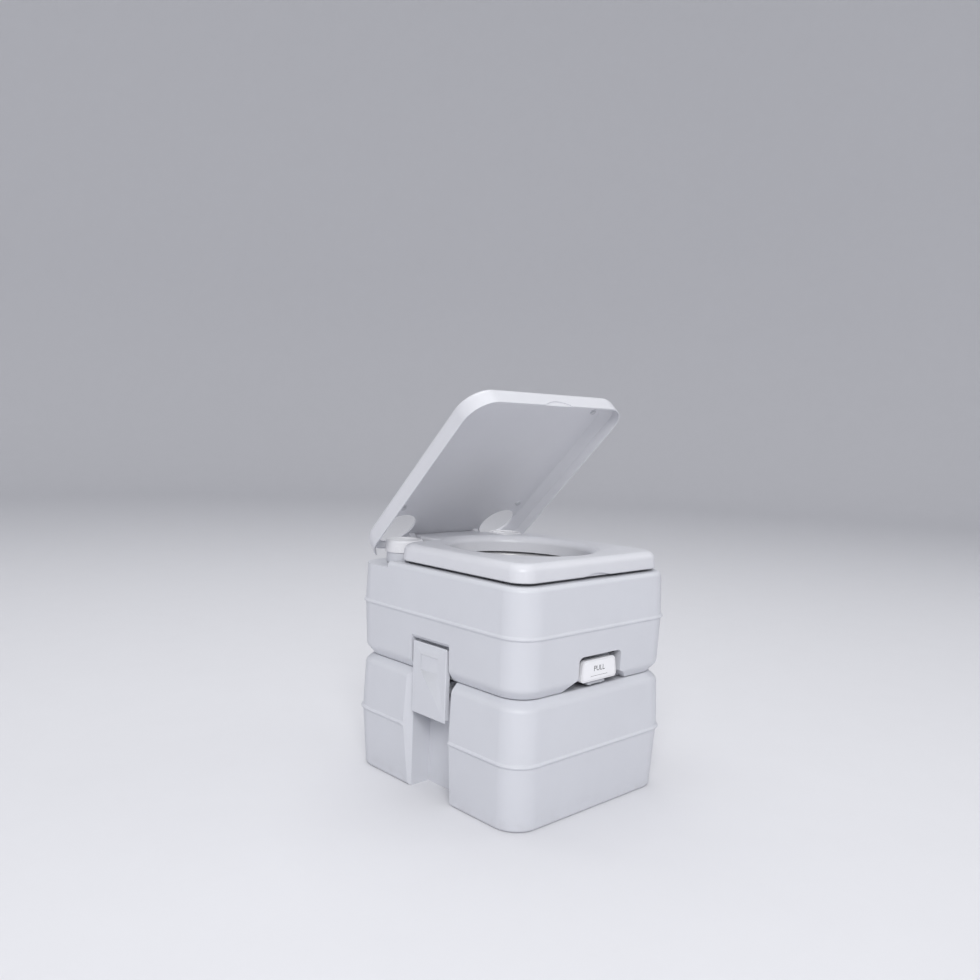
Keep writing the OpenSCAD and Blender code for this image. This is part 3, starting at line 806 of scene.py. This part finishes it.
@dataclass
class Bowl:
    """The bowl that hangs in the fresh tank."""

    a: float = 121.0
    b: float = 138.0
    y: float = -15.0
    outlet: float = 44.0
    top: float = 366.0

    def oval(self, a: float, b: float, y: float, z: float) -> Ring:
        """Gives an oval ring, half as wide as a and half as long as b."""
        return Ring(a, y - b, y + b, z)

    def build(self) -> None:
        """Builds the bowl as one wall, down the inside and up the outside."""
        a, b, y, o, top = self.a, self.b, self.y, self.outlet, self.top
        inside = [self.oval(a + 11.5, b + 11.5, y, top + 2.3), self.oval(a + 1, b + 1, y, top + 2.4),
                  self.oval(a - 2, b - 2, y, top - 1), self.oval(a - 3, b - 3, y, top - 8),
                  self.oval(a - 9, b - 9, y - 2, top - 45), self.oval(a - 20, b - 19, y - 8, top - 68),
                  self.oval(a - 34, b - 34, y - 14, top - 88),
                  self.oval(a - 62, b - 76, VALVE_Y + 8, top - 112),
                  self.oval(o + 1, o + 1, VALVE_Y, top - 122),
                  self.oval(o, o, VALVE_Y, top - 128), self.oval(o, o, VALVE_Y, 211.6)]
        outside = [self.oval(o + 4.8, o + 4.8, VALVE_Y, 211.6),
                   self.oval(o + 4.8, o + 4.8, VALVE_Y, top - 126),
                   self.oval(a - 58, b - 71, VALVE_Y + 8, top - 115),
                   self.oval(a - 30, b - 30, y - 14, top - 89),
                   self.oval(a - 5, b - 5, y - 2, top - 45),
                   self.oval(a + 2.3, b + 2.3, y, top - 8), self.oval(a + 2.3, b + 2.3, y, top + 0.2),
                   self.oval(a + 11.5, b + 11.5, y, top + 0.2)]
        bowl = Loft(Outline.OVAL, inside + outside, arc=16).joined("bowl_shell")
        smooth = bowl.modifiers.new("smooth", "SUBSURF")
        smooth.levels = smooth.render_levels = 2
        place(bowl, "tanks", "bowl_plastic", ["bowl"])


# ---------------------------------------------------------------- seat and lid


@dataclass
class Seat:
    """The hinged seat."""

    width: float = 333.0
    front: float = -192.0
    back: float = 110.0
    bottom: float = 370.5
    top: float = 399.0
    knuckle: tuple[float, float] = (24.0, 54.0)
    bumpers: tuple[tuple[float, float], ...] = ((-147, -160), (147, -160), (-147, 88), (147, 88))

    def mouth(self) -> bpy.types.Object:
        """Makes the solid that opens the seat, flared to give its soft inner lip."""
        throat = Ring(112, -145, 115, 386.5)
        rings = [Ring(112, -145, 115, self.bottom - 3), throat]
        for step in range(1, 9):
            turn = math.pi / 2 * step / 8
            rings.append(throat.inset(-17 * (1 - math.cos(turn)), 386.5 + 12.6 * math.sin(turn)))
        rings.append(rings[-1].inset(-1, self.top + 3))
        return Loft(Outline.OVAL, rings, arc=24).capped("mouth")

    def build(self) -> None:
        """Builds the seat with its tongue, knuckles and hollow underside."""
        half = self.width / 2
        base = Ring(half, self.front, self.back, 372.0)
        wall = base.inset(0.6, 385.5)
        seat = Loft(Outline.BOX, [base.inset(1.2, self.bottom), base, wall,
                                  *round_over(wall, 12.4, self.top, 9)], 30).capped("seat_ring")
        hy, hz = HINGE
        inner_x, outer_x = self.knuckle
        shape(seat, add=[block((-80, 80, self.bottom), (80, 158, self.top - 0.05), 4.5,
                               name="tongue")])
        inner = Ring(half - 4, self.front + 4, self.back - 4, self.bottom - 2)
        hollow = Loft(Outline.BOX, [inner, inner.inset(0.5, 383), inner.inset(9.5, 393)], 26)
        rib = Loft(Outline.OVAL, [Ring(117, -150, 120, self.bottom - 4), Ring(117, -150, 120, 386),
                                  Ring(129, -162, 132, 395)], arc=24).capped("mouth_wall")
        cut_in = shape(hollow.capped("hollow"), cut=[rib], add=[
            block((-76, 90, self.bottom - 2), (76, 154, 393), 1, name="tongue_hollow")])
        adds = [block((-69.5, 146, 391.5), (69.5, 182.5, self.top - 0.1), 2.5,
                      name="hinge_cover")]
        for side in Side:
            s = side.value
            adds += [rod("X", (min(s * inner_x, s * outer_x), hy, hz), outer_x - inner_x, 9, 1.0,
                         name="knuckle"),
                     side_block(side, (inner_x, 152, 376.2), (outer_x, hy, 386), 1,
                                name="knuckle_arm"),
                     side_block(side, (inner_x, hy - 9, hz), (outer_x, hy + 9, 393), 0.8,
                                name="knuckle_top")]
        shape(seat, cut=[cut_in])
        bosses = [rod("Z", (x, y, self.bottom + 1.5), 24, 9, name="boss") for x, y in self.bumpers]
        shape(seat, add=adds + bosses,
              cut=[self.mouth(), rod("X", (-60, hy, hz), 120, PIN_BORE, name="pin_bore"),
                   rod("Y", (0, self.front - 5, self.bottom - 94), 8.6, 99, segments=256,
                       name="lift_notch"),
                   *[rod("Z", (x, y, self.bottom - 1), 12, 4, name="socket")
                     for x, y in self.bumpers]])
        place(soften(seat, 1.1), "seat", "seat_plastic", ["seat"])


@dataclass
class Lid:
    """The hinged lid, drawn shut and then turned open about the hinge line."""

    width: float = 358.0
    front: float = -198.0
    back: float = 194.0
    rim: float = 372.0
    top: float = 405.0
    opened: float = 44.5
    corner: float = 48.0
    hollow_corner: float = 42.0
    knuckle: tuple[float, float] = (71.0, 83.0)
    hole: float = 37.0
    hole_y: float = 149.0
    bumper_x: float = 138.0
    bumper_y: tuple[float, float] = (-160.0, 92.0)

    def build(self) -> None:
        """Builds the lid with its cove, holes, thumb scoop and hinge arms."""
        edge = Ring(self.width / 2, self.front, self.back, self.rim)
        wall = edge.inset(0.6, 392.5)
        lid = Loft(Outline.BOX, [edge, wall, *round_over(wall, 9.6, self.top, 9)],
                   self.corner, arc=18).capped("lid_panel")
        band = Ring(self.width / 2 - 6, self.front + 3.5, self.back - 3.5, 388)
        ledge = Ring(self.width / 2 - 20.5, self.front + 8, self.back - 6, 400.8)
        panel = Ring(self.width / 2 - 24, self.front + 12, self.back - 7.5, 401.8)
        hollow = Loft(Outline.BOX, [edge.inset(2.5, self.rim - 1), band, ledge, panel],
                      self.hollow_corner, arc=18).capped("hollow")
        shape(lid, cut=[hollow])
        hy, hz = HINGE
        inner_x, outer_x = self.knuckle
        adds, cuts = [], [block((-158, 184, self.rim - 3), (158, 200, 391.5), name="rear_gap"),
                          block((-90, 184, self.rim - 3), (90, 200, 398.5), name="post_room"),
                          rod("X", (-90, hy, hz), 180, PIN_BORE, name="pin_bore"),
                          rod("Y", (0, self.front - 3, self.rim + 9.5 - 58), 4.5, 58, segments=256,
                              name="thumb_scoop")]
        for side in Side:
            s = side.value
            adds += [rod("X", (min(s * inner_x, s * outer_x), hy, hz), outer_x - inner_x, 9, 1.0,
                         name="knuckle"),
                     side_block(side, (inner_x, hy - 9, hz), (outer_x, hy + 9, 403), 0.8,
                                name="arm")]
            cuts.append(rod("Z", (s * KNOB[0], self.hole_y, 360), 60, self.hole, segments=128,
                            name="knob_hole"))
            adds += [rod("Z", (s * self.bumper_x, y, 400.4), 3, 6, name="bumper_boss")
                     for y in self.bumper_y]
        shape(lid, add=adds, cut=cuts)
        turn = (Matrix.Translation((0, hy * MM, hz * MM))
                @ Matrix.Rotation(math.radians(-self.opened), 4, "X")
                @ Matrix.Translation((0, -hy * MM, -hz * MM)))
        lid.data.transform(turn)
        place(soften(lid, 1.0), "lid", "seat_plastic", ["lid"])


# ---------------------------------------------------------------- caps, pump and latches


@dataclass
class Caps:
    """The pump knob, the filler cap and the drain cap."""

    radius: float = 32.5
    top: float = 397.5
    drain: Point = (DRAIN[0], 193.5, DRAIN[1])
    ribs: int = 36

    def rim(self, inner: float, skirt: float) -> list[tuple[float, float]]:
        """Gives the outside of a round top's profile, from its skirt up to its top edge.

        Args:
            inner: The inside radius of the skirt.
            skirt: The height of the skirt's lower edge.

        Returns:
            Radius and height of each point.
        """
        r, z = self.radius, self.top
        return [(inner, skirt), (r - 0.7, skirt), (r - 0.2, skirt + 0.2), (r, skirt + 0.8),
                (r, z - 3.2), (r - 0.2, z - 2.2), (r - 0.75, z - 1.2), (r - 1.6, z - 0.5),
                (r - 2.6, z - 0.1), (r - 3.4, z)]

    def build(self) -> None:
        """Builds the round pieces."""
        x, y = KNOB
        z = self.top
        knob = turned("pump_knob_top", [(0, z - 4.5), (7.9, z - 4.5), (9, z - 4), (30.4, z - 3.5),
                                        *self.rim(30.4, 376), (24, z - 0.4), (22.6, z - 0.7),
                                        (21.8, z - 1.4), (20, z - 1.6), (10, z - 1.9), (0, z - 2)],
                      (-x, y, 0))
        place(soften(knob, 0.3), "pump", "white_plastic", ["pump_knob"])
        cap = turned("filler_cap_top", [(0, 381), (30.4, 381), *self.rim(30.4, 376),
                                        (27.6, z), (26.6, z - 0.4), (26.0, z - 1.2), (25.6, 386.4),
                                        (24.8, 385.4), (23.6, 385), (0, 384.4)], (x, y, 0))
        grip = block((x - 7, y - 26.4, 383), (x + 7, y + 26.4, z - 1), 3, name="grip")
        dish = rod("X", (x - 12, y, z + 64), 24, 68, segments=128, name="grip_dish")
        shape(cap, add=[shape(grip, cut=[dish])])
        place(soften(cap, 0.6), "filler", "white_plastic", ["filler_cap"])
        self._drain_cap()

    def _drain_cap(self) -> None:
        """Builds the drain cap with its ribbed rim and grip bar."""
        x, y, z = self.drain
        cap = turned("drain_cap_top", [(0, 11), (34.4, 11), (34.4, -2), (41, -2), (41.8, -1.6),
                                       (42, -0.8), (42, 12), (41.6, 13.4), (40.6, 14.6),
                                       (39.4, 15), (36.2, 15), (35.2, 14.8), (34.4, 14.2),
                                       (34, 13.6), (0, 13.4)], (x, y, z), "Y", 144)
        turns = [math.radians(360 / self.ribs * step) for step in range(self.ribs)]
        ribs = [rod("Y", (x + 41.6 * math.cos(turn), y - 0.4, z + 41.6 * math.sin(turn)), 12,
                    1.35, 0.5, 12, name="rib") for turn in turns]
        bar = block((x - 30, y + 12, z - 4), (x + 30, y + 15.9, z + 4), 1.6, name="bar")
        shape(cap, add=[*ribs, bar])
        place(soften(cap, 0.4), "drain", "white_plastic", ["drain_cap"])


@dataclass
class Latch:
    """One side latch: a plate that hangs over the channel."""

    side: Side
    face: float = 178.0
    half: float = 42.0
    low: float = 129.0
    high: float = 247.0
    pin: tuple[float, float] = (170.5, 239.0)

    def build(self) -> None:
        """Builds the plate with its flanges, barrel, hook and sunk panel."""
        side, s = self.side, self.side.value
        face, half = self.face, self.half
        name = "latch_left_plate" if s < 0 else "latch_right_plate"
        plate = side_block(side, (face - 3.2, -half, self.low), (face, half, self.high), 1.5,
                           name=name)
        px, pz = self.pin
        flange_low, flange_high = self.low + 4, self.high - 12
        adds = [side_block(side, (face - 9, half - 3, flange_low), (face - 2, half, flange_high),
                           0.8),
                side_block(side, (face - 9, -half, flange_low), (face - 2, 3 - half, flange_high),
                           0.8),
                rod("Y", (s * px, -half + 0.05, pz), 2 * half - 0.1, 5, 0.6, name="barrel"),
                side_block(side, (px, -half + 0.1, pz - 5), (face - 1, half - 0.1, pz + 5)),
                side_block(side, (158, -15, 161), (face - 2, 15, 167.4), 0.8)]
        cuts = [side_block(side, (face - 0.8, -21, 203), (face + 2, 21, 228)),
                rod("Y", (s * px, -60, pz), 120, 2.05, name="pin_bore")]
        shape(plate, add=adds, cut=cuts)
        place(soften(plate, 0.35, segments=2), f"latch_{'l' if s < 0 else 'r'}", "latch_plastic",
              ["latch_left" if s < 0 else "latch_right"])


# ---------------------------------------------------------------- slide valve handle


@dataclass
class Handle:
    """The slide valve's handle with its label."""

    face: float = -202.5
    back: float = -195.5

    def build(self) -> None:
        """Builds the handle, its label and the word on it."""
        outline = round_outline([(-43, 208), (-38, 242), (38, 242), (43, 208)], 7.5, 8)
        plate = prism(outline, "Y", self.face, self.back, name="valve_handle_plate")
        foot = block((-30, -195.6, 205.5), (30, -187.5, 212), 1, name="foot")
        holes = [rod("Z", (x, -194.5, 201), 10, 1.7, name="screw_hole") for x in (-12, 12)]
        hollow = prism(round_outline([(-36, 214), (-33, 238), (33, 238), (36, 214)], 4, 4), "Y",
                       -199, -195, name="hollow")
        shape(plate, add=[foot], cut=[hollow, *holes])
        place(soften(plate, 1.4, segments=4), "valve", "white_plastic", ["valve_handle"])
        film = prism(round_outline([(-38, 211), (-34.5, 239), (34.5, 239), (38, 211)], 5.5, 8),
                     "Y", -203.1, -202.4, name="valve_label_film")
        place(soften(film, 0.15, segments=2), "valve", "label", ["valve_label"])
        self._word("PULL", 12.0, (0, -203.1, 227.0))
        rule = block((-20, -203.16, 215.6), (20, -203.08, 216.1), name="label_rule")
        place(rule, "valve", "label", finish=INK)

    def _word(self, text: str, size: float, spot: Point) -> None:
        """Prints a word on the label.

        Args:
            text: The word.
            size: The letters' size, in millimetres.
            spot: The middle of the word.
        """
        curve = bpy.data.curves.new("label_word", "FONT")
        curve.body = text
        curve.size = size
        curve.align_x = "CENTER"
        curve.align_y = "CENTER"
        curve.extrude = 0.04
        holder = in_scene("label_word_curve", curve)
        bpy.context.view_layer.update()
        flat = holder.evaluated_get(bpy.context.evaluated_depsgraph_get())
        mesh = bpy.data.meshes.new_from_object(flat)
        bpy.data.objects.remove(holder)
        mesh.transform(Matrix.Translation(Vector(spot) * MM)
                       @ Matrix.Rotation(math.radians(90), 4, "X")
                       @ Matrix.Scale(MM, 4))
        place(in_scene("label_word", mesh), "valve", "label", finish=INK)


# ---------------------------------------------------------------- fasteners and small parts


@dataclass
class Screws:
    """A set of like cross-head screws."""

    name: str
    node: str
    body: str
    axis: Point
    seats: tuple[Point, ...]
    head: tuple[float, float]
    shank: tuple[float, float]

    def build(self) -> None:
        """Builds one screw, and a copy of it on each seat."""
        r, h = self.head
        sr, sl = self.shank
        one = turned("screw", [(0, -sl), (sr * 0.4, -sl + sr * 0.6), (sr, -sl + sr * 1.6),
                               (sr, 0), (r, 0), (r, h * 0.35), (r * 0.88, h * 0.72),
                               (r * 0.62, h * 0.92), (0, h)], (0, 0, 0), steps=40)
        arms = [block((-r * 0.55, -0.32, h * 0.45), (r * 0.55, 0.32, h + 1), name="arm"),
                block((-0.32, -r * 0.55, h * 0.45), (0.32, r * 0.55, h + 1), name="arm")]
        shape(one, cut=arms)
        turn = Vector((0, 0, 1)).rotation_difference(Vector(self.axis)).to_matrix().to_4x4()
        whole = bmesh.new()
        for seat in self.seats:
            copy = one.data.copy()
            copy.transform(Matrix.Translation(Vector(seat) * MM) @ turn)
            whole.from_mesh(copy)
            bpy.data.meshes.remove(copy)
        bpy.data.objects.remove(one)
        made = from_bm(self.name, whole)
        place(soften(made, 0.15, segments=2), self.body, "screw_steel", [self.node])


@dataclass
class Spring:
    """A round wire spring that stands in the pump."""

    foot: Point = (-121.0, 148.0, 378.0)
    radius: float = 13.0
    wire: float = 0.9
    turns: float = 4.0
    height: float = 15.5

    def build(self) -> None:
        """Spins a wire's section into the spring."""
        bm = bmesh.new()
        bmesh.ops.create_circle(bm, cap_ends=True, segments=12, radius=self.wire)
        bmesh.ops.rotate(bm, verts=bm.verts, cent=(0, 0, 0),
                         matrix=Matrix.Rotation(math.radians(90), 3, "X"))
        bmesh.ops.translate(bm, verts=bm.verts, vec=(self.radius, 0, self.wire))
        steps = int(self.turns * 48)
        rise = (self.height - 2 * self.wire) / steps
        bmesh.ops.spin(bm, geom=list(bm.faces) + list(bm.edges) + list(bm.verts),
                       cent=(0, 0, 0), axis=(0, 0, 1), dvec=(0, 0, rise),
                       angle=math.tau * self.turns, steps=steps, use_duplicate=False)
        bmesh.ops.translate(bm, verts=bm.verts, vec=self.foot)
        place(make("pump_spring_wire", bm), "tanks", "pin_steel", ["pump_spring"])


@dataclass
class SoftCopies:
    """CAD pieces that keep their shape and only get round edges."""

    widths: dict[str, float] = field(default_factory=lambda: {
        "hinge_posts": 1.4, "pump_collar": 0.8, "filler_neck": 0.8, "valve_frame": 0.6,
        "valve_blade": 0.5, "latch_strikes": 0.6, "drain_neck": 0.7, "vent_housing": 0.6,
        "vent_button": 0.8, "pump_cylinder": 0.5, "hinge_pins": 0.5, "latch_pins": 0.3,
        "seat_bumpers": 0.8, "lid_bumpers": 0.5})

    def build(self) -> None:
        """Copies each piece, merges its faces and rounds its edges."""
        slots = {s["node"]: s["material_slot"] for s in frame["record"]["subparts"]}
        for node, width in self.widths.items():
            bm = bmesh.new()
            bm.from_mesh(frame["nodes"][node].data)
            bmesh.ops.remove_doubles(bm, verts=bm.verts, dist=MERGE)
            bmesh.ops.dissolve_limit(bm, angle_limit=math.radians(0.5), verts=bm.verts,
                                     edges=bm.edges)
            for face in bm.faces:
                face.smooth = True
            copy = from_bm(node + "_soft", bm)
            place(soften(copy, width), frame["nodes"][node]["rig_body"], slots[node], [node])


# ---------------------------------------------------------------- studio


@dataclass
class Studio:
    """The floor, the lights and the camera."""

    azimuth: float = -42.88
    elevation: float = 3.79
    roll: float = 2.0
    distance: float = 1.5
    target: Point = (-0.0544, 0.0042, 0.4921)
    focal: float = 895.63
    frame_side: float = 980.0
    aim: float = 0.25
    floor: float = 6.0
    cove: float = 2.0
    wall: float = 6.5

    def build(self) -> None:
        """Builds the studio."""
        self._floor()
        self._light("key", (-2.9, -3.1, 3.1), (2.2, 2.2), 150)
        self._light("fill", (3.4, -2.2, 2.6), (2.2, 2.2), 16)
        self._light("top", (0.2, 0.9, 3.8), (3.0, 3.0), 46)
        self._world()
        self._camera()

    def _floor(self) -> None:
        """Makes a round floor that curves up into the backdrop."""
        bm = bmesh.new()
        reach, cove = self.floor, self.cove
        points = [(0.0, 0.0), (reach / 2, 0.0), (reach, 0.0)]
        points += [(reach + cove * math.sin(math.radians(a)),
                    cove - cove * math.cos(math.radians(a))) for a in range(10, 91, 10)]
        points.append((reach + cove, self.wall))
        verts = [bm.verts.new((r, 0, z)) for r, z in points]
        edges = [bm.edges.new(pair) for pair in zip(verts, verts[1:])]
        bmesh.ops.spin(bm, geom=verts + edges, cent=(0, 0, 0), axis=(0, 0, 1),
                       angle=math.tau, steps=96, use_merge=True)
        bmesh.ops.remove_doubles(bm, verts=bm.verts, dist=1e-5)
        for face in bm.faces:
            face.smooth = True
            if face.normal.z < 0:
                face.normal_flip()
        floor = from_bm("studio_floor", bm)
        dress(floor, BACKDROP)

    def _light(self, name: str, spot: Point, size: tuple[float, float], power: float) -> None:
        """Makes a soft light that faces the object.

        Args:
            name: The light's name.
            spot: Where it stands, in metres.
            size: Its width and height.
            power: Its power, in watts.
        """
        data = bpy.data.lights.new(name, "AREA")
        data.shape = "RECTANGLE"
        data.size, data.size_y = size
        data.energy = power
        lamp = in_scene(name, data)
        lamp.location = spot
        towards = Vector((0, 0, self.aim)) - Vector(spot)
        lamp.rotation_euler = towards.to_track_quat("-Z", "Y").to_euler()

    def _world(self) -> None:
        """Sets the pale light all round."""
        world = bpy.data.worlds.new("studio")
        world.use_nodes = True
        sky = world.node_tree.nodes["Background"]
        sky.inputs["Color"].default_value = (0.93, 0.95, 1.0, 1)
        sky.inputs["Strength"].default_value = 0.50
        bpy.context.scene.world = world
        bpy.context.scene.view_settings.view_transform = "Standard"

    def _camera(self) -> None:
        """Sets the camera."""
        a, e, r = (math.radians(v) for v in (self.azimuth, self.elevation, self.roll))
        back = Vector((math.sin(a) * math.cos(e), -math.cos(a) * math.cos(e), math.sin(e)))
        right = Vector((0, 0, 1)).cross(back).normalized()
        up = back.cross(right)
        across = right * math.cos(r) + up * math.sin(r)
        above = up * math.cos(r) - right * math.sin(r)
        data = bpy.data.cameras.new("camera")
        data.lens = self.focal / self.frame_side * data.sensor_width
        data.clip_end = 60
        camera = in_scene("camera", data)
        turn = Matrix((across, above, back)).transposed().to_4x4()
        camera.matrix_world = Matrix.Translation(Vector(self.target) + back * self.distance) @ turn
        bpy.context.scene.camera = camera


# ---------------------------------------------------------------- the whole


def dress_cad() -> None:
    """Gives every CAD node that still shows the finish of its slot."""
    for entry in frame["record"]["subparts"]:
        node = frame["nodes"][entry["node"]]
        dress(node, SLOT_FINISH[entry["material_slot"]])
        log.info("%s wears %s", entry["node"], entry["material_slot"])


def fasteners() -> list[Screws]:
    """Lists the sets of screws."""
    posts = tuple((s * 62 + x, 168.0, 360.0) for s in (-1, 1) for x in (-14, 14))
    valve = tuple((s * 60.5, y, 201.0) for s in (-1, 1) for y in (-150.0, -70.0, 2.0))
    return [Screws("post_screw_set", "post_screws", "tanks", (0, 0, 1), posts, (2.8, 1.6), (1.5, 10)),
            Screws("valve_screw_set", "valve_screws", "tanks", (0, 0, 1), valve, (3.2, 2.2), (2, 12)),
            Screws("handle_screw_set", "handle_screws", "valve", (0, 0, -1),
                   ((-12, -194.5, 201.5), (12, -194.5, 201.5)), (3, 1.5), (1.6, 9))]


def main() -> None:
    """Builds every sub-assembly in order, then the studio."""
    logging.basicConfig(level=logging.INFO, format="%(name)s: %(message)s")
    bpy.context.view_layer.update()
    dress_cad()
    parts = [Tanks(), Bowl(), Seat(), Lid(), Caps(), Latch(Side.LEFT), Latch(Side.RIGHT), Handle(),
             *fasteners(), Spring(), SoftCopies(), Studio()]
    for part in parts:
        log.info("building %s", type(part).__name__)
        part.build()


if __name__ == "__main__":
    main()
